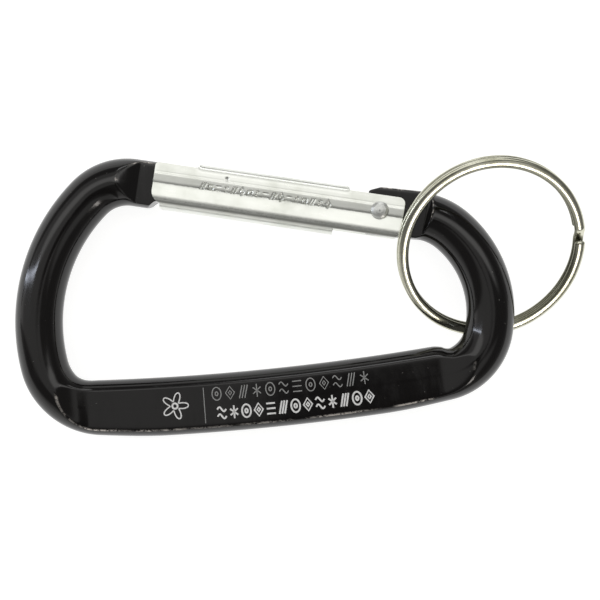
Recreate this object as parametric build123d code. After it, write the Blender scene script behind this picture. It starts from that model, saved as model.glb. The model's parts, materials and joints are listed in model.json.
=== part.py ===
from build123d import *
import math
import os

# Snap-hook key ring: a bent and pressed rod, a sprung sheet-metal gate and a split ring.
# Units are millimetres and degrees. The hook is drawn flat, with the middle of its spine's centre
# line at (0, 0, 0), and is then laid on a table: one end on the table, the other on the split ring.

# Rod and its bends. Each bend is (radius, angle turned), listed from the middle of the spine outwards.
rod_diameter = 7.6
spine_bow_radius = 405.0
spine_half_angle = 3.94
hinge_side_bends = [(spine_bow_radius, spine_half_angle), (8.3, 70.0), (17.3, 59.3), (10.3, 34.5)]
nose_side_bends = [(spine_bow_radius, spine_half_angle), (9.2, 77.5), (28.5, 59.1), (8.55, 53.9)]

# Pressed spine: wider and thinner than the rod.
spine_width = 9.4
spine_thickness = 5.2
spine_wide_length = 46.0
spine_taper_length = 7.0
spine_end_width = 6.9
spine_edge_radius = 1.3
press_left = -33.6
press_right = 32.4
press_top = 7.0

# Pressed rod ends. Distances run along the rod from where its last bend ends.
tongue_thickness = 4.2
tongue_width = 7.8
rivet_from_bend = 6.1
tongue_past_rivet = 2.0
tongue_flat_start = -1.3
tongue_ramp_length = 0.8
tongue_corner_cut = (1.9, 1.3)
nose_flat_start = 0.85
nose_ramp_length = 3.15
nose_tip_length = 8.0
nose_web_gap = 0.1
nose_under_gap = 0.4

# Gate: a sheet folded to a channel. x runs from the rivet to the nose, y points out of the hook.
gate_heading = 165.5
gate_sheet = 0.65
gate_half_width = 3.05
gate_web_y = -4.75
gate_cheek_y = (-3.75, 2.45)
gate_cheek_x = (-3.8, 36.9)
gate_web_x = (7.0, 35.4)
gate_flange_x = (5.6, 28.9)
gate_flange_y = 3.1
gate_web_bend = 1.6
gate_flange_bend = 1.3
gate_seam = 0.3
gate_flange_lap = 1.6
gate_end_radius = 1.0
gate_open_angle = 45.0

# Hinge rivet, and the spring and plunger inside the gate.
rivet_diameter = 1.8
rivet_clearance = 0.05
rivet_head_diameter = 2.8
rivet_head_height = 0.65
plunger_gap = 0.1
plunger_head = (1.0, 4.2, 4.2)
plunger_y = -0.7
plunger_edge = 0.3
plunger_stem_diameter = 1.9
plunger_stem_length = 6.0
plunger_travel = 2.43
spring_wire = 0.4
spring_diameter = 3.4
spring_pitch = 1.5
spring_seat_x = 17.5
spring_seat_thickness = 0.7
spring_seat_top = 1.4
spring_seat_side_gap = 0.15
spring_play = 0.06

# Split ring: two turns of flattened wire that change level in a short step.
ring_mean_radius = 14.35
ring_wire_width = 1.7
ring_wire_height = 0.95
ring_wire_edge = 0.38
ring_turn_gap = 0.05
ring_step_angle = 9.0
ring_step_at = 0.0

# How the object lies on the table. The ring's place is from the middle of the spine.
rest_tilt = 2.15
ring_centre = (36.9, 20.2)
ring_long_axis_angle = 11.2
ring_tilt = 25.8

rod_radius = rod_diameter / 2
cut_size = 40.0


def bend_chain(side, bends):
    """The arcs of one half of the rod, from the spine's middle outwards. side is 1 or -1 along X."""
    arcs = []
    point = Vector(0, 0)
    tangent = Vector(side, 0)
    for radius, angle in bends:
        arc = JernArc(point, tangent, radius, side * angle)
        arcs.append(arc)
        point = arc @ 1
        tangent = arc % 1
    return arcs, point, tangent


def rod_plane(point, tangent):
    """A plane whose x runs along the rod's end, whose y lies in the hook's plane and whose z is up."""
    return Plane(origin=point, x_dir=tangent, z_dir=(0, 0, 1))


hinge_arcs, hinge_end, hinge_tangent = bend_chain(1, hinge_side_bends)
nose_arcs, nose_end, nose_tangent = bend_chain(-1, nose_side_bends)
tongue_plane = rod_plane(hinge_end, hinge_tangent)
nose_plane = rod_plane(nose_end, nose_tangent)
rivet_point = hinge_end + hinge_tangent * rivet_from_bend
gate_direction = Vector(1, 0).rotate(Axis.Z, gate_heading)
# y of this plane points out of the hook, so its z points down
gate_plane = Plane(origin=rivet_point, x_dir=gate_direction, z_dir=(0, 0, -1))


def box_between(plane, low, high):
    """A box in a plane's own coordinates, from its lowest to its highest corner."""
    size = [b - a for a, b in zip(low, high)]
    middle = [(a + b) / 2 for a, b in zip(low, high)]
    return plane * Pos(*middle) * Box(*size)


def rod():
    """The round rod, bent, with straight ends that run to the ends of its tongues."""
    tongue_length = rivet_from_bend + tongue_past_rivet
    straight_hinge = Line(hinge_end, hinge_end + hinge_tangent * tongue_length)
    straight_nose = Line(nose_end, nose_end + nose_tangent * nose_tip_length)
    solid = Part()
    for edge in [*hinge_arcs, straight_hinge, *nose_arcs, straight_nose]:
        section = Plane(origin=edge @ 0, z_dir=edge % 0) * Circle(rod_radius)
        solid += sweep(section, path=edge)
    return solid


def spine_section(distance, width):
    """The pressed spine's section, at a distance along its bow from the middle."""
    turn = math.degrees(distance / spine_bow_radius)
    place = Pos(0, spine_bow_radius) * Rot(0, 0, turn) * Pos(0, -spine_bow_radius)
    section = Plane.YZ * RectangleRounded(width, spine_thickness, spine_edge_radius)
    return place * section


def spine_plate():
    """The part of the spine that the press has squeezed wider than the rod, with rounded edges."""
    half_wide = spine_wide_length / 2
    half_end = half_wide + spine_taper_length
    points = [spine_section(x, spine_width).center() for x in (-half_wide, 0, half_wide)]
    plate = sweep(spine_section(-half_wide, spine_width), path=ThreePointArc(*points))
    for side in (1, -1):
        wide = spine_section(side * half_wide, spine_width)
        narrow = spine_section(side * half_end, spine_end_width)
        plate += loft([wide, narrow], ruled=True)
    return plate


def pressed_faces():
    """What the press takes off above and below the spine."""
    tool = Part()
    for side in (1, -1):
        low_z, high_z = sorted((side * spine_thickness / 2, side * cut_size))
        tool += box_between(Plane.XY, (press_left, -cut_size, low_z), (press_right, press_top, high_z))
    return tool


def end_press(plane, flat_start, ramp_length, thickness):
    """What the press takes off above and below a rod end: flat, with a ramp up to the round rod."""
    half = thickness / 2
    rise = rod_radius - half
    slope_run = 2 * ramp_length
    tool = Part()
    for side in (1, -1):
        points = [
            (cut_size, side * half),
            (flat_start, side * half),
            (flat_start - slope_run, side * (half + 2 * rise)),
            (cut_size, side * (half + 2 * rise)),
        ]
        # drawn in the plane of the rod's axis and the vertical
        upright = Plane(origin=plane.origin, x_dir=plane.x_dir, z_dir=plane.y_dir * -1)
        tool += upright * extrude(Polygon(*points, align=None), amount=tongue_width, both=True)
    return tool


def nose_recess():
    """Makes the nose's tip narrower on the inside of the hook, so that the gate's web passes under it."""
    web_inside = gate_web_y + gate_sheet + nose_under_gap
    tip_x = gate_web_x[1] - nose_tip_length
    low = (tip_x, web_inside - rod_diameter / 2, -rod_radius)
    return box_between(gate_plane, low, (gate_web_x[1] + nose_web_gap, web_inside, rod_radius))


def hook_body():
    """Bent rod with its pressed spine, nose and hinge tongue."""
    solid = rod() + spine_plate() - pressed_faces()
    tongue_end = rivet_from_bend + tongue_past_rivet
    solid -= end_press(tongue_plane, tongue_flat_start, tongue_ramp_length, tongue_thickness)
    solid += box_between(
        tongue_plane,
        (0, -tongue_width / 2, -tongue_thickness / 2),
        (tongue_end, tongue_width / 2, tongue_thickness / 2),
    )
    cut_x, cut_y = tongue_corner_cut
    corner = Polygon(
        (tongue_end + 1, -tongue_width / 2 - 1),
        (tongue_end - cut_x, -tongue_width / 2 - 0.001),
        (tongue_end + 0.001, -tongue_width / 2 + cut_y),
        (tongue_end + 1, -tongue_width / 2 + cut_y),
        align=None,
    )
    solid -= tongue_plane * extrude(corner, amount=tongue_thickness, both=True)
    solid -= end_press(nose_plane, nose_flat_start, nose_ramp_length, tongue_thickness)
    solid -= nose_recess()
    hole = Cylinder(rivet_diameter / 2 + rivet_clearance, cut_size)
    return solid - Pos(*rivet_point) * hole


def gate_section(top_y, closed):
    """The folded sheet's section in (y, z): open at the top, or closed by two flanges with a seam."""
    width = 2 * gate_half_width
    inner_width = width - 2 * gate_sheet
    height = top_y - gate_web_y
    middle = (top_y + gate_web_y) / 2
    bend = gate_web_bend
    if closed:
        bend = gate_flange_bend
    outer = Pos(middle, 0) * RectangleRounded(height, width, bend)
    inner_height = height - 2 * gate_sheet
    inner = Pos(middle, 0) * RectangleRounded(inner_height, inner_width, bend - gate_sheet)
    ring = outer - inner
    if closed:
        return ring - Pos(top_y, 0) * Rectangle(3 * gate_sheet, gate_seam)
    return ring


def along_gate(section, x_range):
    """Carries a section drawn in (y, z) along the gate."""
    start = gate_plane * Pos(x_range[0], 0, 0)
    across = Plane(origin=start.position, x_dir=gate_plane.y_dir, z_dir=gate_plane.x_dir)
    return across * extrude(section, amount=x_range[1] - x_range[0])


def gate():
    """Folded channel: cheeks at both ends, a web inside the hook and flanges over the middle."""
    tall = gate_section(gate_cheek_y[1] + 2 * gate_web_bend, closed=False)
    solid = along_gate(tall, gate_cheek_x)
    above = (gate_cheek_x[0] - 1, gate_cheek_y[1], -cut_size)
    solid -= box_between(gate_plane, above, (gate_cheek_x[1] + 1, cut_size, cut_size))
    below_low = (gate_cheek_x[0] - 1, gate_web_y - 1, -cut_size)
    solid -= box_between(gate_plane, below_low, (gate_web_x[0], gate_cheek_y[0], cut_size))
    nose_low = (gate_web_x[1], gate_web_y - 1, -cut_size)
    solid -= box_between(gate_plane, nose_low, (gate_cheek_x[1] + 1, gate_cheek_y[0], cut_size))
    flanges = along_gate(gate_section(gate_flange_y, closed=True), gate_flange_x)
    low = (gate_flange_x[0] - 1, gate_web_y - 1, -cut_size)
    flanges -= box_between(gate_plane, low, (gate_flange_x[1] + 1, gate_cheek_y[1] - gate_flange_lap, cut_size))
    solid += flanges
    corners = [e for e in solid.edges() if is_cheek_corner(e)]
    solid = fillet(corners, gate_end_radius)
    seat_z = gate_half_width - gate_sheet - spring_seat_side_gap
    solid += box_between(
        gate_plane,
        (spring_seat_x, gate_web_y + gate_sheet / 2, -seat_z),
        (spring_seat_x + spring_seat_thickness, spring_seat_top, seat_z),
    )
    hole = Cylinder(rivet_diameter / 2, cut_size)
    return solid - Pos(*rivet_point) * hole


def is_cheek_corner(edge):
    """True for the short edges through the sheet at the four corners of the cheeks' hinge end."""
    if abs(edge.length - gate_sheet) > 0.01:
        return False
    place = gate_plane.to_local_coords(edge.center())
    direction = (edge @ 1 - edge @ 0).normalized()
    return abs(direction.Z) > 0.99 and abs(place.X - gate_cheek_x[0]) < 0.01


def hinge_rivet():
    """Rivet shank with a domed head on each cheek."""
    solid = Cylinder(rivet_diameter / 2, 2 * gate_half_width)
    head_radius = rivet_head_diameter / 2
    ball_radius = (head_radius**2 + rivet_head_height**2) / (2 * rivet_head_height)
    for side in (1, -1):
        ball = Pos(0, 0, side * (gate_half_width + rivet_head_height - ball_radius)) * Sphere(ball_radius)
        slab_z = side * (gate_half_width + rivet_head_height / 2)
        slab = Pos(0, 0, slab_z) * Cylinder(head_radius + 1, rivet_head_height)
        solid += ball & slab
    return Pos(*rivet_point) * solid


def spring_plunger():
    """Flat-headed pin that the spring presses on the end of the hinge tongue."""
    thick, high, wide = plunger_head
    start = tongue_past_rivet + plunger_gap
    head = box_between(
        gate_plane,
        (start, plunger_y - high / 2, -wide / 2),
        (start + thick, plunger_y + high / 2, wide / 2),
    )
    head = fillet(head.edges(), plunger_edge)
    stem = along_gate(
        Pos(plunger_y, 0) * Circle(plunger_stem_diameter / 2),
        (start + thick / 2, start + thick + plunger_stem_length),
    )
    return head + stem


def gate_spring():
    """Compression spring between the plunger's head and the seat in the gate."""
    start = tongue_past_rivet + plunger_gap + plunger_head[0] + spring_play + spring_wire / 2
    end = spring_seat_x - spring_play - spring_wire / 2
    radius = (spring_diameter - spring_wire) / 2
    origin = gate_plane * Pos(start, plunger_y, 0)
    frame = Plane(origin=origin.position, x_dir=gate_plane.y_dir, z_dir=gate_plane.x_dir)
    coil = Helix(spring_pitch, end - start, radius)
    section = Plane(origin=coil @ 0, z_dir=coil % 0) * Circle(spring_wire / 2)
    return frame * sweep(section, path=coil, is_frenet=True)


def ring_wire_section(level):
    """The wire's section in a plane through the ring's axis."""
    section = RectangleRounded(ring_wire_width, ring_wire_height, ring_wire_edge)
    return Plane.XZ * Pos(ring_mean_radius, level) * section


def split_ring():
    """Two turns joined by a step, with the ring's axis on Z and its centre at the origin."""
    level = (ring_wire_height + ring_turn_gap) / 2
    turn = 360 - ring_step_angle
    lower = Rot(0, 0, ring_step_angle) * revolve(ring_wire_section(-level), Axis.Z, turn)
    upper = Rot(0, 0, ring_step_angle) * revolve(ring_wire_section(level), Axis.Z, turn)
    step_start = ring_wire_section(-level)
    step_end = Rot(0, 0, ring_step_angle) * ring_wire_section(level)
    step = loft([step_start, step_end], ruled=True)
    return Rot(0, 0, ring_step_at) * (lower + upper + step)


def lay_on_table(flat_parts, ring):
    """Tips the hook about Y, puts the ring through it, and moves the origin under the middle."""
    tipped = {name: Rot(0, -rest_tilt, 0) * shape for name, shape in flat_parts.items()}
    hook_bottom = tipped["hook_body"].bounding_box().min.Z
    placed = {name: Pos(0, 0, -hook_bottom) * shape for name, shape in tipped.items()}
    turned = Rot(0, 0, ring_long_axis_angle) * Rot(ring_tilt, 0, 0) * ring
    ring_z = -turned.bounding_box().min.Z
    placed["split_ring"] = Pos(ring_centre[0], ring_centre[1], ring_z) * turned
    boxes = [shape.bounding_box() for shape in placed.values()]
    middle_x = (min(box.min.X for box in boxes) + max(box.max.X for box in boxes)) / 2
    middle_y = (min(box.min.Y for box in boxes) + max(box.max.Y for box in boxes)) / 2
    shift = Pos(-middle_x, -middle_y, -min(box.min.Z for box in boxes))
    hook_move = shift * Pos(0, 0, -hook_bottom) * Rot(0, -rest_tilt, 0)
    ring_move = shift * Pos(ring_centre[0], ring_centre[1], ring_z)
    return {name: shift * shape for name, shape in placed.items()}, hook_move, ring_move


flat = {
    "hook_body": hook_body(),
    "gate": gate(),
    "hinge_rivet": hinge_rivet(),
    "spring_plunger": spring_plunger(),
    "gate_spring": gate_spring(),
}
parts, hook_move, ring_move = lay_on_table(flat, split_ring())

os.makedirs("parts", exist_ok=True)
for name, shape in parts.items():
    export_step(shape, f"parts/{name}.step")
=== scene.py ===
import bpy
import json
import math
import numpy as np
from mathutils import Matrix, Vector


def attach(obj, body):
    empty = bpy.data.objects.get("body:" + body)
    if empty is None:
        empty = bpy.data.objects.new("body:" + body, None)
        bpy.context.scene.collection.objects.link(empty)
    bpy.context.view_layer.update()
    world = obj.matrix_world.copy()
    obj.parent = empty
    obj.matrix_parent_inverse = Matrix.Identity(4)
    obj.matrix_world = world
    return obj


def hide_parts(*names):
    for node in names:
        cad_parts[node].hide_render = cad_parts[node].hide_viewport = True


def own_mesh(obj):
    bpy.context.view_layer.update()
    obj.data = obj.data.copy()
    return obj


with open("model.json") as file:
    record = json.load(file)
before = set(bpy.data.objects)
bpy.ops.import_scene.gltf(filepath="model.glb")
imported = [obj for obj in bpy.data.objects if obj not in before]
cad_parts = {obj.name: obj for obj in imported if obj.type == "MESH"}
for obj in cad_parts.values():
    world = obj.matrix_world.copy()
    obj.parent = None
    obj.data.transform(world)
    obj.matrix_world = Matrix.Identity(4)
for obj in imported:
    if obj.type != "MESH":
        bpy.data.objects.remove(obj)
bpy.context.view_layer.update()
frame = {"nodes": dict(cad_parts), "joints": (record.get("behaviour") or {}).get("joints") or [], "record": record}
mm = 0.001
joints = {joint["name"]: joint for joint in frame["joints"]}
mounts = {mount["name"]: mount for mount in frame["record"]["mounts"]}
print("frame loaded:", sorted(frame["nodes"]))


def unit(v):
    v = np.asarray(v, float)
    return v / np.linalg.norm(v)


def smoothstep(low, high, x):
    # 0 below low, 1 above high, and 3t^2 - 2t^3 between
    t = np.clip((np.asarray(x, float) - low) / (high - low), 0, 1)
    return t * t * (3 - 2 * t)


def softMin(a, b, radius):
    # the lower of two heights, with the corner between them rounded over about radius
    return 0.5 * (a + b - np.sqrt((a - b) ** 2 + radius ** 2))


def spaced(low, high, count):
    # count evenly spaced values from low to high, both included
    return low + (high - low) * np.linspace(0, 1, count)


def gridFaces(rows, columns, closeRows=False, closeColumns=False):
    # quads of a rows x columns grid of points, as index rows; a closed way joins its last line to its first
    r = np.arange(rows if closeRows else rows - 1)
    c = np.arange(columns if closeColumns else columns - 1)
    r, c = np.meshgrid(r, c, indexing="ij")
    r2, c2 = (r + 1) % rows, (c + 1) % columns
    corners = [r * columns + c, r * columns + c2, r2 * columns + c2, r2 * columns + c]
    return np.stack(corners, -1).reshape(-1, 4)


def capFaces(ring, middle, turned=False):
    # triangles from each side of a closed ring of points to one middle point
    ring = np.asarray(ring)
    nextRing = np.roll(ring, -1)
    ends = np.full(len(ring), middle)
    first, second = (nextRing, ring) if turned else (ring, nextRing)
    return np.stack([first, second, ends], -1)


def makePiece(name, points, quads, triangles=None, material=None, smooth=True, attributes=None):
    # points are metres in the row frame; if the faces enclose a negative volume they are all turned round
    points = np.asarray(points, float).reshape(-1, 3)
    triangles = np.zeros((0, 3), int) if triangles is None else np.asarray(triangles, int)
    quads = np.asarray(quads, int)
    fans = np.concatenate([quads[:, [0, 1, 2]], quads[:, [0, 2, 3]], triangles])
    a, b, c = (points[fans[:, i]] for i in range(3))
    if np.einsum("ij,ij->i", a, np.cross(b, c)).sum() < 0:
        quads, triangles = quads[:, ::-1], triangles[:, ::-1]
    mesh = bpy.data.meshes.new(name)
    mesh.vertices.add(len(points))
    mesh.vertices.foreach_set("co", points.astype(np.float32).ravel())
    loops = np.concatenate([quads.ravel(), triangles.ravel()])
    sizes = np.concatenate([np.full(len(quads), 4), np.full(len(triangles), 3)])
    mesh.loops.add(len(loops))
    mesh.loops.foreach_set("vertex_index", loops.astype(np.int32))
    mesh.polygons.add(len(sizes))
    mesh.polygons.foreach_set("loop_start", (np.cumsum(sizes) - sizes).astype(np.int32))
    mesh.polygons.foreach_set("use_smooth", np.full(len(sizes), smooth))
    mesh.update(calc_edges=True)
    mesh.validate()
    for key, values in (attributes or {}).items():
        layer = mesh.attributes.new(key, "FLOAT", "POINT")
        layer.data.foreach_set("value", np.asarray(values, np.float32).ravel())
    piece = bpy.data.objects.new(name, mesh)
    bpy.context.scene.collection.objects.link(piece)
    if material:
        mesh.materials.append(material)
    return piece


class Wire:
    # one shader socket; arithmetic on it adds Math nodes, and add() adds any other node
    def __init__(self, tree, socket=None):
        self.tree = tree
        self.socket = socket

    def add(self, kind, settings=None, inputs=None, output=0):
        node = self.tree.nodes.new(kind)
        for key, value in (settings or {}).items():
            setattr(node, key, value)
        for key, value in (inputs or {}).items():
            if isinstance(value, Wire):
                self.tree.links.new(value.socket, node.inputs[key])
            else:
                node.inputs[key].default_value = value
        return Wire(self.tree, node.outputs[output])

    def maths(self, operation, *others):
        values = {i: value for i, value in enumerate((self, *others))}
        return self.add("ShaderNodeMath", {"operation": operation}, values)

    def __add__(self, other): return self.maths("ADD", other)
    def __radd__(self, other): return self.maths("ADD", other)
    def __sub__(self, other): return self.maths("SUBTRACT", other)
    def __mul__(self, other): return self.maths("MULTIPLY", other)
    def __rmul__(self, other): return self.maths("MULTIPLY", other)

    def __rsub__(self, other):
        return self.add("ShaderNodeMath", {"operation": "SUBTRACT"}, {0: other, 1: self})

    def band(self, low, high):
        # 0 below low, 1 above high; low may be the larger of the two, which turns it round
        return self.add("ShaderNodeMapRange", {"interpolation_type": "SMOOTHSTEP"},
                        {"Value": self, "From Min": low, "From Max": high})

    def noise(self, scale, detail=2.0, rough=0.5, stretch=None, output=0):
        place = self
        if stretch:
            place = self.add("ShaderNodeMapping", None, {"Vector": self, "Scale": stretch})
        return self.add("ShaderNodeTexNoise", None,
                        {"Vector": place, "Scale": scale, "Detail": detail, "Roughness": rough}, output)

    def mix(self, first, second):
        # colours: first where this wire is 0, second where it is 1
        return self.add("ShaderNodeMix", {"data_type": "RGBA"}, {0: self, 6: first, 7: second}, 2)


def rgba(colour):
    return (*colour, 1.0)


def newMaterial(name):
    # an empty Principled material, and a wire to start its nodes from
    material = bpy.data.materials.new(name)
    material.use_nodes = True
    shader = material.node_tree.nodes["Principled BSDF"]
    start = Wire(material.node_tree)
    objectPlace = start.add("ShaderNodeTexCoord", output=3)
    return material, shader, start, objectPlace


def plug(shader, values):
    # sets or links the sockets of a Principled shader by name
    for key, value in values.items():
        if isinstance(value, Wire):
            value.tree.links.new(value.socket, shader.inputs[key])
        else:
            shader.inputs[key].default_value = value


rod = {
    "radius": 3.8,
    "bow": (405.0, 3.94),               # radius and half angle of the spine's long bow
    "hingeBends": [(8.3, 70.0), (17.3, 59.3), (10.3, 34.5)],
    "noseBends": [(9.2, 77.5), (28.5, 59.1), (8.55, 53.9)],
    "rivetFromBend": 6.1,
    "tongueLength": 8.1,
    "noseLength": 8.0,
    "gateHeading": 165.5,
}


def chainAt(distance, bends):
    # x, y and heading at a distance along tangent arcs that all turn left, then along a straight end
    distance = np.asarray(distance, float)
    x, y, heading = (np.zeros_like(distance) for _ in range(3))
    px, py, ph, start = 0.0, 0.0, 0.0, 0.0
    for radius, degrees in bends:
        length = radius * math.radians(degrees)
        here = distance >= start - 1e-9
        turn = (distance[here] - start) / radius
        x[here] = px + radius * (np.sin(ph + turn) - math.sin(ph))
        y[here] = py - radius * (np.cos(ph + turn) - math.cos(ph))
        heading[here] = ph + turn
        end = ph + length / radius
        px, py = px + radius * (math.sin(end) - math.sin(ph)), py - radius * (math.cos(end) - math.cos(ph))
        ph, start = end, start + length
    here = distance > start
    x[here] = px + (distance[here] - start) * math.cos(ph)
    y[here] = py + (distance[here] - start) * math.sin(ph)
    heading[here] = ph
    return x, y, heading


def bendsLength(bends):
    return sum(radius * math.radians(degrees) for radius, degrees in bends)


hingeChain = [rod["bow"], *rod["hingeBends"]]
noseChain = [rod["bow"], *rod["noseBends"]]
hingeEnd = bendsLength(hingeChain)
noseEnd = bendsLength(noseChain)


def rodAt(u):
    # the rod's centre line: u is the distance from the spine's middle, above 0 towards the hinge
    u = np.asarray(u, float)
    hx, hy, hh = chainAt(np.maximum(u, 0), hingeChain)
    nx, ny, nh = chainAt(np.maximum(-u, 0), noseChain)
    hinge = u >= 0
    return np.where(hinge, hx, -nx), np.where(hinge, hy, ny), np.where(hinge, hh, -nh)


gateHinge = joints["gate_hinge"]
rivetX, rivetY = (float(v) for v in rodAt(hingeEnd + rod["rivetFromBend"])[:2])
hookUp = unit(gateHinge["axis"])
gateAlong = unit(joints["plunger_slide"]["axis"])
gateOut = unit(np.cross(gateAlong, hookUp))     # out of the hook, across the gate
turn = math.radians(rod["gateHeading"])
hookX = math.cos(turn) * gateAlong + math.sin(turn) * gateOut
hookY = np.cross(hookUp, hookX)
rivetPlace = np.array(gateHinge["pos_m"])


def fromHook(x, y, z):
    # millimetres in the hook's flat frame to metres in the row frame
    x, y, z = np.broadcast_arrays(x, y, z)
    along, across = (x - rivetX)[..., None], (y - rivetY)[..., None]
    return rivetPlace + mm * (along * hookX + across * hookY + z[..., None] * hookUp)


def fromGate(x, y, z):
    # millimetres from the rivet: x towards the nose, y out of the hook, z up
    x, y, z = np.broadcast_arrays(x, y, z)
    return rivetPlace + mm * (x[..., None] * gateAlong + y[..., None] * gateOut + z[..., None] * hookUp)


def hookToGate(x, y):
    # the same point's x and y from the rivet, along and across the gate
    dx, dy = x - rivetX, y - rivetY
    c, s = math.cos(turn), math.sin(turn)
    return dx * c + dy * s, dx * s - dy * c


# The hook: a bent rod whose spine, nose and hinge tongue have been pressed flat.
hook = {
    "spineHalf": 2.6,              # half thickness of the pressed spine
    "spineReach": 4.7,             # half width of the spine
    "faceInner": 3.15,             # from the middle line to the pressed face's two edges
    "faceOuter": 3.6,
    "spreadOuter": (17.0, 37.0),   # where the spine starts and ends its change to the round rod
    "spreadLeft": (28.0, 36.0),
    "spreadRight": (26.2, 30.5),
    "rampLeft": (28.8, 0.042),     # where the face starts to rise, and its rise per millimetre squared
    "rampRight": (25.5, 0.026),
    "pressTop": 7.6,
    "pressWall": 0.9,              # how far the press's upper wall leans
    "tongueHalf": 2.1,
    "tongueReach": 3.9,
    "tongueEdge": 3.7,
    "tongueFlat": -1.3,
    "tongueRamp": 0.8,
    "noseFlat": 0.85,
    "noseRamp": 3.15,
    "noseReach": 3.8,
    "noseUnder": -3.7,             # the nose's inside face over the gate's web
    "noseStep": 35.5,              # where that face starts, from the rivet
    "edgeRound": 0.16,
    "innerRound": 0.07,
    "lipLength": 1.5,
    "wearWide": 0.16,
    "wearInner": 0.3,              # wear on the spine's inner edge, as a share of the outer edge's
    "wearFade": (30.5, 33.5),      # where the wear fades towards the bends, and by how much at each
    "wearLeft": 0.3,
    "wearRight": 0.7,
    "endRound": 0.35,
}


def sideWidth(w, reach, edge, half):
    # half width at height w of a side bulged to an arc through (edge, half) and (reach, 0)
    sagitta = reach - edge
    radius = (sagitta ** 2 + half ** 2) / (2 * sagitta)
    return reach - radius + np.sqrt(np.maximum(radius ** 2 - w ** 2, 0))


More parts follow.
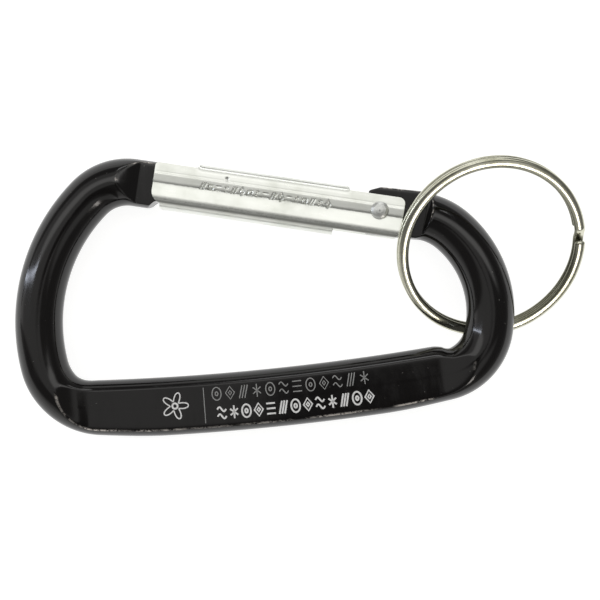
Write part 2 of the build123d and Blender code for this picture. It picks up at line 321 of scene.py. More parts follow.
def hookSurface():
    # A circle carried along the bent line. Where a press has worked, its sides become flatter arcs, pushed
    # out, and its height is cut off by the press's own height map, with a small round along the cut.
    h, r = hook, rod["radius"]
    tongueEndU = hingeEnd + rod["tongueLength"]
    noseEndU = -(noseEnd + rod["noseLength"])
    # rows are close together where the spine's press runs out, and at the nose and the tongue
    runOutStart, runOutEnd = 22, 33
    noseRows, tongueRows = -noseEnd + 1.0, hingeEnd - 3.0
    u = np.concatenate([
        spaced(noseEndU, noseRows, 60), spaced(noseRows, -runOutEnd, 130)[1:],
        spaced(-runOutEnd, -runOutStart, 60)[1:], spaced(-runOutStart, runOutStart, 100)[1:],
        spaced(runOutStart, runOutEnd, 60)[1:],
        spaced(runOutEnd, tongueRows, 80)[1:], spaced(tongueRows, tongueEndU, 60)[1:]])
    quarter = np.concatenate([spaced(0, 28, 9), spaced(28, 50, 16)[1:], spaced(50, 90, 15)[1:]])
    angle = np.radians(np.concatenate([
        quarter, 180 - quarter[-2::-1], 180 + quarter[1:], 360 - quarter[-2:0:-1]]))
    x0, y0, heading = rodAt(u)
    cosA, sinA = np.cos(angle)[None, :], np.sin(angle)[None, :]
    inner = cosA < 0
    spreadOuter = 1 - smoothstep(*h["spreadOuter"], np.abs(u))
    spreadInner = 1 - np.where(u < 0, smoothstep(*h["spreadLeft"], -u), smoothstep(*h["spreadRight"], u))
    spread = np.where(inner, spreadInner[:, None], spreadOuter[:, None])
    toTongue = smoothstep(hingeEnd + h["tongueFlat"] - h["tongueRamp"], hingeEnd + 0.2, u)
    toNose = smoothstep(noseEnd + h["noseFlat"] - h["noseRamp"], noseEnd + h["noseFlat"] + 0.5, -u)
    w = r * sinA * np.ones_like(u)[:, None]
    lowW = np.abs(w)

    def widths(half, reach, edge):
        # the pressed side up to the press height, and from there to the middle line in step with the circle
        topCos = math.sqrt(1 - (half / r) ** 2)
        side = sideWidth(np.minimum(lowW, half), reach, edge, half)
        return np.where(lowW < half, side, edge * np.abs(cosA) / topCos)

    width = r * np.abs(cosA) * np.ones_like(w)
    spineWidth = np.where(inner, widths(h["spineHalf"], h["spineReach"], h["faceInner"]),
                          widths(h["spineHalf"], h["spineReach"], h["faceOuter"]))
    tongueWidth = widths(h["tongueHalf"], h["tongueReach"], h["tongueEdge"])
    noseWidth = widths(h["tongueHalf"], h["noseReach"], 3.35)
    ends = ((spread, spineWidth), (toTongue[:, None], tongueWidth), (toNose[:, None], noseWidth))
    for share, other in ends:
        width = width + share * (other - width)
    v = np.where(inner, -width, width)
    x = x0[:, None] + v * np.sin(heading)[:, None]
    y = y0[:, None] - v * np.cos(heading)[:, None]
    gateX, gateY = hookToGate(x, y)

    # the nose's inside is cut back where the gate's web passes under it, with a small lip before the cut
    atNose = (u < -noseEnd + 0.5)[:, None]
    lowest = gateY.min(1, keepdims=True)
    underGate = smoothstep(h["noseStep"] + h["lipLength"], h["noseStep"] - 0.1, gateX)
    floorY = lowest + (h["noseUnder"] - lowest) * underGate
    cut = np.where(atNose, np.maximum(floorY - gateY, 0), 0)
    x = x + cut * math.sin(turn)
    y = y - cut * math.cos(turn)
    gateX, gateY = hookToGate(x, y)

    # the presses' half height at every place: flat inside the tool's outline, and rising outside it
    leftStart, leftRate = h["rampLeft"]
    rightStart, rightRate = h["rampRight"]
    rise = leftRate * np.maximum(-x - leftStart, 0) ** 2 + rightRate * np.maximum(x - rightStart, 0) ** 2
    limit = h["spineHalf"] + rise
    limit = limit + (r - h["spineHalf"]) * np.maximum(y - h["pressTop"], 0) / h["pressWall"]
    along = (hingeEnd + h["tongueFlat"] - u)[:, None]
    tongueLimit = h["tongueHalf"] + (r - h["tongueHalf"]) * np.maximum(along, 0) / h["tongueRamp"]
    along = (noseEnd + h["noseFlat"] + u)[:, None]
    noseLimit = h["tongueHalf"] + (r - h["tongueHalf"]) * np.maximum(along, 0) / h["noseRamp"]
    limit = np.minimum(np.minimum(limit, tongueLimit), noseLimit)
    height = softMin(np.abs(w), limit, np.where(inner, h["innerRound"], h["edgeRound"]))
    fade = h["wearRight"] * smoothstep(*h["wearFade"], x) + h["wearLeft"] * smoothstep(*h["wearFade"], -x)
    weight = np.where(inner, h["wearInner"], 1.0) * (1 - fade)
    edge = weight * np.exp(-((np.abs(w) - limit) / h["wearWide"]) ** 2)

    # both ends draw in a little, so that their rims are round
    for end in (u - noseEndU, tongueEndU - u):
        t = np.clip(1 - end / h["endRound"], 0, 1)
        inset = h["endRound"] * (1 - np.sqrt(np.maximum(1 - t ** 2, 0)))
        middleX, middleY = x0[:, None], y0[:, None]
        size = np.hypot(x - middleX, y - middleY)
        share = 1 - inset[:, None] / np.maximum(size, 1.0)
        x, y = middleX + (x - middleX) * share, middleY + (y - middleY) * share
        height = height * (1 - inset[:, None] / h["tongueHalf"])
    # the tongue's outer corner is cut at a slant
    gateX, gateY = hookToGate(x, y)
    overCorner = np.maximum((gateX - 0.1) / 1.9 + (gateY - 2.6) / 1.3 - 1, 0)
    x = x - np.where(u[:, None] > hingeEnd, overCorner * 1.3 * 0.6, 0) * math.sin(turn)
    y = y + np.where(u[:, None] > hingeEnd, overCorner * 1.3 * 0.6, 0) * math.cos(turn)
    points = fromHook(x, y, np.sign(sinA) * height)
    rows, columns = points.shape[:2]
    caps = points[[0, -1]].mean(1)
    allPoints = np.concatenate([points.reshape(-1, 3), caps])
    quads = gridFaces(rows, columns, closeColumns=True)
    first = capFaces(np.arange(columns), rows * columns)
    last = capFaces((rows - 1) * columns + np.arange(columns), rows * columns + 1, turned=True)
    values = np.concatenate([edge.ravel(), [0, 0]])
    return allPoints, quads, np.concatenate([first, last]), values


def blackCoat():
    # gloss black coat over aluminium: a trace of colour drift, fine dust and scuffs, and bare metal along
    # worn edges
    material, shader, start, place = newMaterial("blackCoat")
    edge = start.add("ShaderNodeAttribute", {"attribute_name": "pressEdge"}, None, 2)
    drift = place.noise(60, 3)
    speck = place.noise(2600, 1).band(0.74, 0.79) * place.noise(300, 2).band(0.5, 0.62)
    chips = place.noise(1500, 4, 0.7).band(0.42, 0.56) * place.noise(130, 2).band(0.38, 0.54)
    worn = (edge.band(0.25, 0.85) * chips).maths("MINIMUM", 1.0)
    colour = drift.mix(rgba((0.0032, 0.0027, 0.0028)), rgba((0.0060, 0.0050, 0.0048)))
    colour = (speck * 0.35).mix(colour, rgba((0.30, 0.29, 0.27)))
    colour = worn.mix(colour, rgba((0.62, 0.58, 0.54)))
    scuff = place.noise(500, 4, 0.65, (1.0, 0.35, 1.0))
    rough = 0.10 + scuff.band(0.45, 0.8) * 0.10 + worn * 0.2
    relief = start.add("ShaderNodeBump", None, {
        "Strength": 0.12, "Distance": 0.00006, "Height": scuff - worn * 0.6})
    plug(shader, {"Base Color": colour, "Roughness": rough, "Metallic": worn * 0.9, "Normal": relief,
                  "IOR": 1.5})
    return material


hookPoints, hookQuads, hookTriangles, hookEdge = hookSurface()
hookPiece = makePiece("hookRod", hookPoints, hookQuads, hookTriangles, blackCoat(),
                      attributes={"pressEdge": hookEdge})
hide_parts("hook_body")
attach(hookPiece, "hook")
print("hook:", len(hookPoints), "points")


# The split ring: a flattened wire wound twice, changing level in one short step.
ringSize = {
    "mean": 14.35,
    "width": 1.7,
    "height": 0.95,
    "square": 0.86,     # 1 would be an ellipse, 0 a rectangle
    "gap": 0.05,
    "stepAt": -13.0,    # degrees that the whole wire is turned in its own plane
    "step": 9.0,        # degrees over which the wire changes level
    "endRound": 0.5,
}


def ringSurface():
    # a squared ellipse carried round a circle for nearly two turns; its height follows a smooth step
    s = ringSize
    path = np.radians(np.concatenate([
        spaced(s["step"], s["step"] + 3, 10), spaced(s["step"] + 3, 358, 200)[1:], spaced(358, 371, 36)[1:],
        spaced(371, 717, 200)[1:], spaced(717, 720, 10)[1:]]))
    halfW, halfH = s["width"] / 2, s["height"] / 2
    angle = np.linspace(0, 2 * np.pi, 40, endpoint=False)
    a = halfW * np.sign(np.cos(angle)) * np.abs(np.cos(angle)) ** s["square"]
    b = halfH * np.sign(np.sin(angle)) * np.abs(np.sin(angle)) ** s["square"]
    level = (s["height"] + s["gap"]) / 2
    stepStart, stepEnd = math.radians(360), math.radians(360 + s["step"])
    height = -level + 2 * level * smoothstep(stepStart, stepEnd, path)
    fromEnd = np.minimum(path - path[0], path[-1] - path) * s["mean"]
    t = np.clip(1 - fromEnd / s["endRound"], 0, 1)
    shrink = 0.35 + 0.65 * np.sqrt(np.maximum(1 - t ** 2, 0))
    radius = s["mean"] + a[None, :] * shrink[:, None]
    around = path + math.radians(s["stepAt"])
    local = np.stack([radius * np.cos(around)[:, None], radius * np.sin(around)[:, None],
                      height[:, None] + b[None, :] * shrink[:, None]], -1)
    ringUp = unit(mounts["key_loop"]["axis"])
    ringX = unit(np.cross([0, 0, 1], ringUp))
    ringY = np.cross(ringUp, ringX)
    points = np.array(mounts["key_loop"]["pos_m"]) + mm * (local @ np.stack([ringX, ringY, ringUp]))
    rows, columns = points.shape[:2]
    caps = points[[0, -1]].mean(1)
    quads = gridFaces(rows, columns, closeColumns=True)
    first = capFaces(np.arange(columns), rows * columns)
    last = capFaces((rows - 1) * columns + np.arange(columns), rows * columns + 1, turned=True)
    # painted shade: the wire is darkened between its two turns and along the ring's inner side
    towardGap = smoothstep(0.3, 0.8, -(height / level)[:, None] * (b / halfH)[None, :])
    paintedShade = np.maximum(towardGap, smoothstep(0.5, 0.8, -a / halfW)[None, :])
    values = np.concatenate([paintedShade.ravel(), [0.5, 0.5]])
    return np.concatenate([points.reshape(-1, 3), caps]), quads, np.concatenate([first, last]), values


def nickelPlate():
    # warm bright plate on steel wire, with drawn lines too fine to see singly, faint stains, and painted shade
    # inside the ring and between its turns
    material, shader, start, place = newMaterial("nickelPlate")
    paintedShade = start.add("ShaderNodeAttribute", {"attribute_name": "paintedShade"}, None, 2)
    stain = place.noise(220, 4, 0.6)
    lines = place.noise(900, 3, 0.6, (1.0, 1.0, 6.0))
    colour = stain.band(0.35, 0.75).mix(rgba((0.70, 0.695, 0.58)), rgba((0.48, 0.475, 0.36)))
    # painted shade: a dark olive colour mixed in between the turns and inside the ring
    colour = (paintedShade * 0.8).mix(colour, rgba((0.085, 0.083, 0.05)))
    rough = 0.13 + lines * 0.10 + stain.band(0.55, 0.8) * 0.08 + paintedShade * 0.1
    relief = start.add("ShaderNodeBump", None, {"Strength": 0.15, "Distance": 0.00004, "Height": lines})
    plug(shader, {"Base Color": colour, "Roughness": rough, "Metallic": 1.0, "Normal": relief})
    return material


ringPoints, ringQuads, ringTriangles, ringShade = ringSurface()
ringPiece = makePiece("splitRing", ringPoints, ringQuads, ringTriangles, nickelPlate(),
                      attributes={"paintedShade": ringShade})
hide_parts("split_ring")
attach(ringPiece, "ring")
print("ring:", len(ringPoints), "points")


# The gate: one sheet folded to a channel, with two flanges bent over along its middle.
gate = {
    "sheet": 0.65,
    "halfWidth": 3.05,
    "webY": -4.75,
    "cheekY": (-3.75, 2.45),
    "cheekX": (-3.8, 36.2),
    "webX": (7.0, 35.4),
    "flangeX": (5.6, 28.9),
    "flangeY": 3.1,
    "webBend": 1.6,
    "flangeBend": 1.3,
    "seam": 0.3,
    "shoulder": 1.0,          # length over which the sheet goes from a straight edge to a folded flange
    "hingeCorners": (1.0, 1.0),   # lower and upper corner radii at the hinge end
    "noseCorners": (1.7, 0.5),
    "edgeRound": 0.12,
    "dent": (24.6, 1.35, 0.18),   # x, y and depth of the small dent
    "creaseShades": ((-3.35, 0.3, 1.0), (-0.72, 0.2, 0.55)),   # y, width and strength of the painted shade lines along the creases
}


def gateSection(length, fold):
    # The sheet's middle surface on one cheek: y, z and its outward normal, from the web's middle line, where
    # length is 0, round the web bend, up the cheek and over the flange. fold goes from 0, straight, to 1, a
    # full flange.
    g = gate
    t = g["sheet"] / 2
    flat = g["halfWidth"] - g["webBend"]
    webRadius, flangeRadius = g["webBend"] - t, g["flangeBend"] - t
    bend = webRadius * math.pi / 2
    cheekStart = flat + bend
    foldStart = cheekStart + (g["flangeY"] - g["flangeBend"]) - (g["webY"] + g["webBend"])
    foldLength = flangeRadius * math.pi / 2
    angle = np.clip((length - flat) / bend, 0, 1) * math.pi / 2
    z = np.minimum(length, flat) + webRadius * np.sin(angle)
    upCheek = np.clip(length - cheekStart, 0, foldStart - cheekStart)
    y = g["webY"] + t + webRadius * (1 - np.cos(angle)) + upCheek
    over = np.clip(length - foldStart, 0, None)
    most = fold * math.pi / 2
    radius = foldLength / np.maximum(most, 1e-6)
    bent = np.minimum(over, foldLength) / radius
    after = np.maximum(over - foldLength, 0)
    y = np.minimum(y + radius * np.sin(bent) + after * np.cos(most), g["flangeY"] - t)
    z = z - radius * (1 - np.cos(bent)) - after * np.sin(most)
    tilt = angle + np.where(over > 0, bent, 0)      # 0 on the web, 90 degrees on the cheek
    return y, z, -np.cos(tilt), np.sin(tilt), cheekStart, foldStart, foldLength


stamp = {
    "x": (7.6, 28.9),        # along the gate, from the rivet
    "y": -0.3,
    "pitch": 1.25,
    "halfHigh": 0.62,
    "halfWide": 0.36,
    "stroke": 0.085,
    "dot": 0.12,
    "depth": 0.17,
    "slant": 0.10,
    "order": (0, 1, 2, 3, 1, 4, 0, 2, 4, 1, 3, 0, 2, 1, 4, 3, 2),
}


def stampDepth(x, y):
    # A row of plain punch marks. In each cell p and q run across and up, and a mark is where the distance to
    # its line is under half a stroke: lozenge, two dots, hatching, square or two level bars.
    s = stamp
    cell = np.clip(((x - s["x"][0]) / s["pitch"]).astype(int), 0, len(s["order"]) - 1)
    q = y - s["y"]
    p = (s["x"][0] + (cell + 0.5) * s["pitch"] - x) - s["slant"] * q
    a, b = s["halfWide"], s["halfHigh"]
    lozenge = np.abs(np.abs(p) / a + np.abs(q) / b - 0.9) * a * 0.8
    dots = np.maximum(np.hypot(p, np.abs(q) - b * 0.5) - s["dot"], 0)
    hatch = np.hypot(np.abs(p - 0.35 * q) - a * 0.55, np.maximum(np.abs(q) - b * 0.8, 0))
    square = np.abs(np.maximum(np.abs(p) / a, np.abs(q) / b * 1.5) - 0.9) * a
    bars = np.hypot(np.maximum(np.abs(p) - a * 0.8, 0), np.abs(q) - b * 0.5)
    kinds = np.stack([lozenge, dots, hatch, square, bars])
    distance = np.take_along_axis(kinds, np.array(s["order"])[cell][None], 0)[0]
    inside = (x > s["x"][0]) & (x < s["x"][0] + s["pitch"] * len(s["order"]))
    uneven = 0.75 + 0.25 * np.sin(2.1 * cell + 0.6)
    return s["depth"] * uneven * (1 - smoothstep(s["stroke"] * 0.5, s["stroke"] * 1.6, distance)) * inside


def cheekRelief(y):
    # how far the sheet stands out at each height: facets with a crease and a shallow valley between them
    slopes = [(-3.5, -2.95, 0.13), (-2.85, -1.15, -0.10), (-0.45, 0.82, 0.03), (0.98, 3.2, -0.060)]
    total = np.zeros_like(y)
    for low, high, slope in slopes:
        total = total + slope * (np.clip(y, low, high) - low)
    return total - 0.05 * np.exp(-((y + 0.75) / 0.22) ** 2) - 0.03 * np.exp(-((y - 0.88) / 0.07) ** 2)


def gateSurface():
    # The folded sheet's middle surface on a grid of rows along the gate and columns across the sheet.
    # The rows end at the sheet's edge, which moves in at rounded corners, and the web starts later
    # than the cheeks.
    g = gate
    t = g["sheet"] / 2
    _, _, _, _, cheekStart, foldStart, foldLength = gateSection(np.zeros(1), 0.0)
    webAngle = math.acos(1 - (g["cheekY"][0] - g["webY"] - t) / (g["webBend"] - t))
    lowLength = g["halfWidth"] - g["webBend"] + (g["webBend"] - t) * webAngle
    straightEnd = foldStart + g["cheekY"][1] - (g["flangeY"] - g["flangeBend"])
    flangeEnd = foldStart + foldLength + g["halfWidth"] - g["flangeBend"] - g["seam"] / 2
    stampLow, stampHigh = (cheekStart + s for s in (1.95, 3.6))
    x = np.concatenate([
        spaced(g["cheekX"][0], g["cheekX"][0] + 1.4, 14),
        spaced(g["cheekX"][0] + 1.4, g["flangeX"][0] - 1.2, 14)[1:],
        spaced(g["flangeX"][0] - 1.2, g["webX"][0], 24)[1:], spaced(g["webX"][0], 29.2, 230)[1:],
        spaced(29.2, 30.4, 14)[1:], spaced(30.4, g["cheekX"][1] - 2.0, 12)[1:],
        spaced(g["cheekX"][1] - 2.0, g["cheekX"][1], 24)[1:]])
    half = np.concatenate([
        spaced(0, lowLength, 7), spaced(lowLength, cheekStart, 8)[1:], spaced(cheekStart, stampLow, 12)[1:],
        spaced(stampLow, stampHigh, 24)[1:], spaced(stampHigh, foldStart, 9)[1:]])
    top = spaced(0, 1, 13)[1:]
    fold = smoothstep(g["flangeX"][0] - g["shoulder"], g["flangeX"][0] + 0.1, x)
    fold = fold * (1 - smoothstep(g["flangeX"][1] - 0.1, g["flangeX"][1] + g["shoulder"], x))
    grow = fold[:, None] ** 3
    topLength = foldStart + top[None, :] * (straightEnd - foldStart + grow * (flangeEnd - straightEnd))
    length = np.concatenate([np.broadcast_to(half, (len(x), len(half))), topLength], 1)
    y, z, ny, nz, *_ = gateSection(length, fold[:, None])
    straight = np.concatenate([half, foldStart + top * (straightEnd - foldStart)])
    straightY = gateSection(straight[None, :], 0.0)[0]

    def cornerCut(radii):
        # how far the end edge draws in near the cheek's lower and upper corners
        lowGap = np.clip(straightY - g["cheekY"][0], 0, radii[0])
        highGap = np.clip(g["cheekY"][1] - straightY, 0, radii[1])
        corners = zip(radii, (lowGap, highGap))
        return sum(r - np.sqrt(np.maximum(r * r - (r - gap) ** 2, 0)) for r, gap in corners)

    hingeCut, noseCut = cornerCut(g["hingeCorners"]), np.minimum(cornerCut(g["noseCorners"]), 1.5)
    halfway = 25.0
    grid = x[:, None] + np.zeros_like(length)
    fromWeb = (g["webX"][0] - grid) / (g["webX"][0] - g["cheekX"][0])
    grid = np.where(fromWeb > 0, g["webX"][0] - fromWeb * (g["webX"][0] - g["cheekX"][0] - hingeCut), grid)
    toNose = (grid - halfway) / (g["cheekX"][1] - halfway)
    grid = np.where(toNose > 0, halfway + toNose * (g["cheekX"][1] - halfway - noseCut), grid)

    onFlange = smoothstep(0, 1.2, length - foldStart) * fold[:, None]
    onCheek = smoothstep(cheekStart - 0.4, cheekStart + 0.1, length) * (1 - onFlange)
    lift = onCheek * (cheekRelief(y) - cheekRelief(np.array([g["webY"] + g["webBend"]])))
    z = z + lift
    slopeStep = 1e-3
    slope = (cheekRelief(y + slopeStep) - cheekRelief(y - slopeStep)) / (2 * slopeStep) * onCheek
    ny, nz = ny - slope * nz, nz
    size = np.hypot(ny, nz)
    ny, nz = ny / size, nz / size
    marks = stampDepth(grid, y) * onCheek
    dentX, dentY, dentDepth = g["dent"]
    dent = dentDepth * np.exp(-(((grid - dentX) / 0.22) ** 2 + ((y - dentY) / 0.17) ** 2))

    def faceOf(side, z, nz, sunk):
        # one skin of the sheet, from its middle surface and normal
        return fromGate(grid, y + ny * (side * t - sunk), z + nz * (side * t - sunk))

    # painted shade: dark lines along the lower crease and the valley between the cheek's facets
    creaseShade = onCheek * sum(share * np.exp(-((y - middle) / wide) ** 2) for middle, wide, share in g["creaseShades"])
    skins = []
    for side in (1, -1):
        sunk = marks + dent if side > 0 else marks * 0.5
        front = faceOf(side, z, nz, sunk)
        back = faceOf(side, -z, -nz, 0)
        skins.append(np.concatenate([back[:, :0:-1], front], 1))
    rows, columns = skins[0].shape[:2]
    quads = gridFaces(rows, columns)
    # the web is missing near the hinge
    firstRow = int(np.argmin(np.abs(x - g["webX"][0])))
    webColumns = len(half[half < lowLength - 1e-6])
    r, c = quads[:, 0] // columns, quads[:, 0] % columns
    centre = (columns - 1) // 2
    missing = (r < firstRow) & (c >= centre - webColumns) & (c < centre + webColumns)
    quads = quads[~missing]
    used = rows * columns
    edges = np.concatenate([quads[:, [0, 1]], quads[:, [1, 2]], quads[:, [2, 3]], quads[:, [3, 0]]])
    key = np.sort(edges, 1)
    key = key[:, 0] * used + key[:, 1]
    _, index, count = np.unique(key, return_index=True, return_counts=True)
    rim = edges[index[count == 1]]
    rimQuads = np.stack([rim[:, 1], rim[:, 0], rim[:, 0] + used, rim[:, 1] + used], -1)
    points = np.concatenate([skins[0].reshape(-1, 3), skins[1].reshape(-1, 3)])
    values = np.tile(np.concatenate([creaseShade[:, :0:-1], creaseShade], 1).ravel(), 2)
    return points, np.concatenate([quads, quads[:, ::-1] + used, rimQuads]), values


def dropUnused(points, quads, values):
    # keeps only the points that a face uses
    keep, quads = np.unique(quads, return_inverse=True)
    return points[keep], quads.reshape(-1, 4), values[keep]


def satinSheet():
    # bright rolled sheet: fine lines along the gate, gritty painted shade along the creases, and stains
    material, shader, start, place = newMaterial("satinSheet")
    along = place.add("ShaderNodeMapping", None, {
        "Vector": place, "Rotation": (0, 0, -math.atan2(gateAlong[1], gateAlong[0]))})
    grain = along.noise(1100, 3, 0.6, (0.10, 1.0, 1.0))
    stain = place.noise(180, 4, 0.6)
    colour = stain.band(0.35, 0.75).mix(rgba((0.82, 0.835, 0.79)), rgba((0.70, 0.72, 0.66)))
    creaseShade = start.add("ShaderNodeAttribute", {"attribute_name": "creaseShade"}, None, 2)
    grit = along.noise(3000, 4, 0.7, (0.5, 1.0, 1.0)).band(0.38, 0.62)
    creaseShade = creaseShade * (0.25 + grit * 0.75)
    # painted shade mixed in along the creases, broken up by grit
    colour = (creaseShade * 0.75).mix(colour, rgba((0.16, 0.165, 0.155)))
    rough = 0.24 + grain * 0.10 + stain.band(0.5, 0.8) * 0.06 + creaseShade * 0.15
    relief = start.add("ShaderNodeBump", None, {"Strength": 0.12, "Distance": 0.00005, "Height": grain})
    plug(shader, {"Base Color": colour, "Roughness": rough, "Metallic": 1.0, "Normal": relief})
    return material


sheetMetal = satinSheet()
gatePoints, gateQuads, gateShade = dropUnused(*gateSurface())
gatePiece = makePiece("gateSheet", gatePoints, gateQuads, None, sheetMetal, attributes={"creaseShade": gateShade})
bevel = gatePiece.modifiers.new("edgeRound", "BEVEL")
bevel.width = gate["edgeRound"] * mm
bevel.segments = 2
bevel.limit_method = "ANGLE"
bevel.angle_limit = math.radians(50)
bevel.harden_normals = False
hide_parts("gate")
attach(gatePiece, "gate")
print("gate:", len(gatePoints), "points")


# The rivet: a shank with a turned dome on each cheek.
rivet = {
    "shank": 0.9,
    "head": 1.4,
    "height": 0.6,
    "base": 2.72,       # where a head meets its cheek, from the middle plane
}


def rivetSurface():
    # a profile of radius and height turned about the rivet's axis: two domes with faint turned rings, and
    # the shank
    s = rivet
    rise = spaced(0, 1, 26)
    across = s["head"] * np.sin(rise * math.pi / 2)
    rings = 0.012 * np.sin(across * 15) * smoothstep(0.3, 0.6, across) * (1 - smoothstep(1.1, 1.3, across))
    dome = s["height"] * np.sqrt(np.maximum(1 - (across / (s["head"] * 1.02)) ** 2, 0)) * 0.97
    topZ = gate["halfWidth"] + dome + rings
    radius = np.concatenate([across, [s["head"], s["head"] - 0.12, s["shank"]]])
    height = np.concatenate([topZ, [s["base"] + 0.1, s["base"], s["base"]]])
    radius = np.concatenate([radius, radius[::-1]])
    height = np.concatenate([height, -height[::-1]])
    angle = np.linspace(0, 2 * np.pi, 64, endpoint=False)
    keep = slice(1, -1)
    x = radius[keep, None] * np.cos(angle)
    y = radius[keep, None] * np.sin(angle)
    points = fromGate(x, y, height[keep, None])
    rows, columns = points.shape[:2]
    poles = fromGate(np.zeros(2), np.zeros(2), np.array([height[0], height[-1]]))
    first = capFaces(np.arange(columns), rows * columns)
    last = capFaces((rows - 1) * columns + np.arange(columns), rows * columns + 1, turned=True)
    quads = gridFaces(rows, columns, closeColumns=True)
    return np.concatenate([points.reshape(-1, 3), poles]), quads, np.concatenate([first, last])


def rivetMetal():
    # turned aluminium, a little duller than the sheet
    material, shader, start, place = newMaterial("rivetMetal")
    stain = place.noise(700, 3, 0.6)
    colour = stain.mix(rgba((0.82, 0.83, 0.80)), rgba((0.60, 0.615, 0.59)))
    relief = start.add("ShaderNodeBump", None, {"Strength": 0.08, "Distance": 0.00003, "Height": stain})
    plug(shader, {"Base Color": colour, "Roughness": 0.34 + stain * 0.1, "Metallic": 1.0, "Normal": relief})
    return material


rivetPiece = makePiece("hingeRivet", *rivetSurface(), rivetMetal())
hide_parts("hinge_rivet")
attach(rivetPiece, "gate")


# The spring inside the gate, and the plunger that it pushes. The spring is drawn at one length.
spring = {
    "wire": 0.4,
    "diameter": 3.4,
    "turns": 9.5,
    "start": 3.36,      # from the rivet along the gate
    "end": 17.24,
    "y": -0.7,
}


def springSurface():
    # a circle carried along a helix whose pitch closes up at both ends
    s = spring
    path = spaced(0, 1, 620)
    turns = path * s["turns"] * 2 * np.pi
    closed = smoothstep(0.06, 0.22, path) * (1 - smoothstep(0.78, 0.94, path)) + 0.28
    travel = np.concatenate([[0], np.cumsum((closed[1:] + closed[:-1]) / 2)])
    x = s["start"] + (s["end"] - s["start"]) * travel / travel[-1]
    radius = (s["diameter"] - s["wire"]) / 2
    angle = np.linspace(0, 2 * np.pi, 12, endpoint=False)
    out = radius + s["wire"] / 2 * np.cos(angle)[None, :]
    y = s["y"] + out * np.cos(turns)[:, None]
    z = out * np.sin(turns)[:, None]
    points = fromGate(x[:, None] + s["wire"] / 2 * np.sin(angle)[None, :], y, z)
    rows, columns = points.shape[:2]
    caps = points[[0, -1]].mean(1)
    first = capFaces(np.arange(columns), rows * columns)
    last = capFaces((rows - 1) * columns + np.arange(columns), rows * columns + 1, turned=True)
    quads = gridFaces(rows, columns, closeColumns=True)
    return np.concatenate([points.reshape(-1, 3), caps]), quads, np.concatenate([first, last])


def springWire():
    # drawn spring wire with a thin oil film
    material, shader, _, place = newMaterial("springWire")
    film = place.noise(900, 3, 0.6)
    colour = film.mix(rgba((0.50, 0.50, 0.49)), rgba((0.36, 0.35, 0.33)))
    plug(shader, {"Base Color": colour, "Roughness": 0.25 + film * 0.15, "Metallic": 1.0})
    return material


wireMetal = springWire()
springPiece = makePiece("gateSpring", *springSurface(), wireMetal)
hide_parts("gate_spring")
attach(springPiece, "gate")
tuple(fromGate(np.array(spring["end"]), 0.0, 0.0))
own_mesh(springPiece)

plungerMesh = frame["nodes"]["spring_plunger"].data
plungerMesh.materials.clear()
plungerMesh.materials.append(wireMetal)
print("rivet, spring and plunger done")


# The print on the spine: two rows of plain ornament, a divider and a round mark, in grey and white ink.
ink = {
    "top": 2.625,
    "bottom": 2.575,
    "rows": (
        {"y": 1.62, "x": (-9.9, 15.9), "count": 12, "halfHigh": 1.02, "halfWide": 0.72, "stroke": 0.17},
        {"y": -1.45, "x": (-9.2, 16.2), "count": 13, "halfHigh": 1.02, "halfWide": 0.70, "stroke": 0.27},
    ),
    "orders": ((0, 1, 2, 3, 0, 4, 5, 0, 1, 4, 2, 3), (4, 3, 0, 1, 5, 2, 0, 1, 4, 3, 2, 0, 1)),
    "divider": (-10.9, -2.9, 2.75, 0.13),
    "mark": (-15.6, 0.15, 2.35),
}


def strokeRibbon(path, width, closed=False):
    # a rectangle carried along a flat path in the spine's own frame: x along the bow, y across it
    path = np.asarray(path, float)
    if closed:
        ahead, behind = np.roll(path, -1, 0), np.roll(path, 1, 0)
    else:
        ahead = np.vstack([path[1:], 2 * path[-1] - path[-2]])
        behind = np.vstack([2 * path[0] - path[1], path[:-1]])
    tangent = ahead - behind
    tangent = tangent / np.linalg.norm(tangent, axis=1)[:, None]
    side = np.stack([-tangent[:, 1], tangent[:, 0]], 1) * width / 2
    left, right = path + side, path - side
    corners = [(left, ink["top"]), (right, ink["top"]), (right, ink["bottom"]), (left, ink["bottom"])]
    ring = []
    for flat, z in corners:
        x0, y0, heading = rodAt(flat[:, 0])
        x, y = x0 - flat[:, 1] * np.sin(heading), y0 + flat[:, 1] * np.cos(heading)
        ring.append(fromHook(x, y, np.full(len(flat), z)))
    points = np.stack(ring, 1)
    quads = gridFaces(len(path), 4, closeRows=closed, closeColumns=True)
    if not closed:
        end = (len(path) - 1) * 4
        quads = np.concatenate([quads, [[0, 1, 2, 3], [end + 3, end + 2, end + 1, end]]])
    return points.reshape(-1, 3), quads


def inkShapes(kind, x, y, a, b):
    # the lines of one ornament as (points, closed): ring in ring, lozenge pair, hatching, star, ripple or
    # stacked bars
    t = np.linspace(0, 1, 25)
    circle = np.stack([np.cos(t[:-1] * 2 * np.pi), np.sin(t[:-1] * 2 * np.pi)], 1)
    middle, size = np.array([x, y]), np.array([a, b])
    if kind == 0:
        return [(middle + circle * size, True), (middle + circle * size * 0.3, True)]
    if kind == 1:
        lozenge = np.array([(0, 1), (1, 0), (0, -1), (-1, 0)])
        return [(middle + lozenge * size, True), (middle + lozenge * size * 0.35, True)]
    if kind == 2:
        return [(middle + np.array([(s - 0.4, -1), (s + 0.4, 1)]) * size, False) for s in (-0.6, 0, 0.6)]
    if kind == 3:
        rays = [np.array([math.cos(v), math.sin(v)]) for v in np.radians([30, 90, 150])]
        return [(middle + np.stack([-ray, ray]) * size, False) for ray in rays]
    if kind == 4:
        wave = np.stack([2 * t - 1, 0.35 * np.sin(t * 2 * np.pi)], 1)
        return [(middle + (wave + (0, shift)) * size, False) for shift in (-0.55, 0.55)]
    return [(middle + np.array([(-1, shift), (1, shift)]) * size, False) for shift in (-0.8, 0, 0.8)]


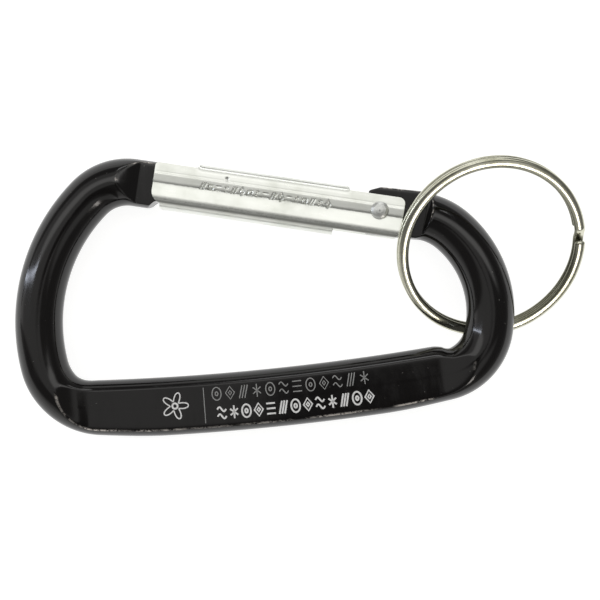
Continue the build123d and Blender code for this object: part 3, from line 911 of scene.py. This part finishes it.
def printPiece(name, strokes, colour):
    # gathers the ribbons of one ink into one piece
    points, quads, start = [], [], 0
    for (path, closed), width in strokes:
        p, q = strokeRibbon(path, width, closed)
        points.append(p)
        quads.append(q + start)
        start += len(p)
    material, shader, _, place = newMaterial(name + "Ink")
    patch = place.noise(1500, 4, 0.7)
    tone = tuple(c * 0.82 for c in colour)
    plug(shader, {"Base Color": patch.band(0.35, 0.7).mix(rgba(colour), rgba(tone)),
                  "Roughness": 0.42 + patch * 0.15, "IOR": 1.45})
    piece = makePiece(name, np.concatenate(points), np.concatenate(quads), None, material, smooth=False)
    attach(piece, "hook")
    return piece


def rowStrokes(row, order):
    # one row of ornaments, evenly spaced, each line with the row's stroke width
    pitch = (row["x"][1] - row["x"][0]) / row["count"]
    strokes = []
    for i, kind in enumerate(order):
        middle = row["x"][0] + (i + 0.5) * pitch
        shapes = inkShapes(kind, middle, row["y"], row["halfWide"], row["halfHigh"])
        strokes += [(shape, row["stroke"]) for shape in shapes]
    return strokes


upper, lower = (rowStrokes(row, order) for row, order in zip(ink["rows"], ink["orders"]))
dividerX, dividerLow, dividerHigh, dividerWide = ink["divider"]
upper.append(((np.array([(dividerX, dividerLow), (dividerX, dividerHigh)]), False), dividerWide))
markX, markY, markSize = ink["mark"]
turnRound = np.linspace(0, 2 * np.pi, 72, endpoint=False)
petals = markSize * (0.62 + 0.30 * np.cos(5 * turnRound))     # five petals: the radius swings as a cosine
for radius, stroke in ((petals, 0.2), (0.42, 0.3)):
    outline = np.stack([markX + radius * np.cos(turnRound), markY + radius * np.sin(turnRound)], 1)
    lower.append(((outline, True), stroke))
printPiece("printGrey", upper, (0.36, 0.36, 0.355))
printPiece("printWhite", lower, (0.96, 0.96, 0.95))
print("print done")


# The floor, the light and the camera.
studio = {
    "cameraTurn": 5.99,          # degrees that the camera is turned about the upright
    "aim": (-0.02, -2.90),       # millimetres, the place straight under the camera
    "height": 207.0,
    "lens": 75.48,
}


def makeFloor():
    # a wide flat sheet, brightened a little so that it stays pale under the object
    grid = np.stack(np.meshgrid([-1.5, 1.5], [-1.5, 1.5], indexing="ij"), -1).reshape(-1, 2)
    points = np.concatenate([grid, np.zeros((4, 1))], 1)
    material, shader, _, place = newMaterial("paleFloor")
    tone = place.noise(6, 2)
    colour = tone.mix(rgba((0.36, 0.36, 0.36)), rgba((0.34, 0.34, 0.335)))
    plug(shader, {"Base Color": colour, "Roughness": 0.7,
                  "Emission Color": rgba((1.0, 1.0, 0.995)), "Emission Strength": 0.89})
    floor = makePiece("floor", points, [[0, 2, 3, 1]], None, material)


def makeSky():
    # Soft room light worked out from the direction looked in. sx and sy are its slopes from the zenith: a
    # bright band lies on one side of it, dark stretches on the others, and it is pale low down.
    world = bpy.data.worlds.new("room")
    bpy.context.scene.world = world
    world.use_nodes = True
    tree = world.node_tree
    start = Wire(tree)
    direction = start.add("ShaderNodeTexCoord", output=0)
    direction = direction.add("ShaderNodeMapping", None, {
        "Vector": direction, "Rotation": (0, 0, math.radians(studio["cameraTurn"]))})
    split = direction.add("ShaderNodeSeparateXYZ", None, {0: direction})
    x, y, z = (Wire(tree, split.socket.node.outputs[i]) for i in range(3))
    up = z.maths("MAXIMUM", 0.05)
    sx, sy = x.maths("DIVIDE", up), y.maths("DIVIDE", up)
    bright = sy.band(0.10, 0.20) * sy.band(0.62, 0.36) * sx.band(-1.3, -0.8) * sx.band(1.3, 0.8)
    patch = sx.band(-0.125, -0.085) * sx.band(0.118, 0.108) * sy.band(-0.02, -0.06)
    below = sy.band(-0.13, -0.24) * sy.band(-1.5, -0.8) * sx.band(0.34, 0.2)
    above = sy.band(0.85, 1.3) * sy.band(5.0, 3.0)
    right = sx.band(0.16, 0.32) * sx.band(3.5, 1.8) * sy.band(-0.35, -0.15) * (1 - bright)
    side = sx.band(0.55, 0.9) * sx.band(12.0, 6.0)
    dark = patch
    for stretch in (below, right, above, side):
        dark = dark.maths("MAXIMUM", stretch * 0.85)
    low = z.band(0.42, 0.12)
    level = (0.56 + bright * 1.0 + low * 0.45) * (1 - dark * 0.87)
    background = tree.nodes["Background"]
    tree.links.new(level.socket, background.inputs["Strength"])
    background.inputs["Color"].default_value = rgba((1.0, 0.99, 0.97))


def areaLight(name, place, size, power, colour=(1, 1, 1)):
    # a flat lamp at a place in metres, turned to face the object
    target = (0, 0, 0.005)
    data = bpy.data.lights.new(name, "AREA")
    data.shape = "RECTANGLE"
    data.size, data.size_y = size
    data.energy = power
    data.color = colour
    lamp = bpy.data.objects.new(name, data)
    bpy.context.scene.collection.objects.link(lamp)
    lamp.location = place
    lamp.rotation_euler = (Vector(target) - Vector(place)).to_track_quat("-Z", "Y").to_euler()


makeFloor()
makeSky()
areaLight("leftStrip", (-0.48, 0.14, 0.24), (0.02, 0.5), 0.35, (0.80, 0.86, 1.0))
areaLight("frontCard", (0.24, -0.52, 0.40), (0.09, 0.20), 0.35, (1.0, 0.94, 0.88))
areaLight("backCard", (0.15, 0.60, 0.45), (0.5, 0.2), 0.7)

cameraData = bpy.data.cameras.new("camera")
cameraData.lens = studio["lens"]
cameraData.sensor_width = 36.0
cameraData.clip_start = 0.01
camera = bpy.data.objects.new("camera", cameraData)
bpy.context.scene.collection.objects.link(camera)
camera.location = (studio["aim"][0] * mm, studio["aim"][1] * mm, studio["height"] * mm)
camera.rotation_euler = (0, 0, -math.radians(studio["cameraTurn"]))
bpy.context.scene.camera = camera
bpy.context.scene.view_settings.view_transform = "Standard"

print("camera, light and floor done")
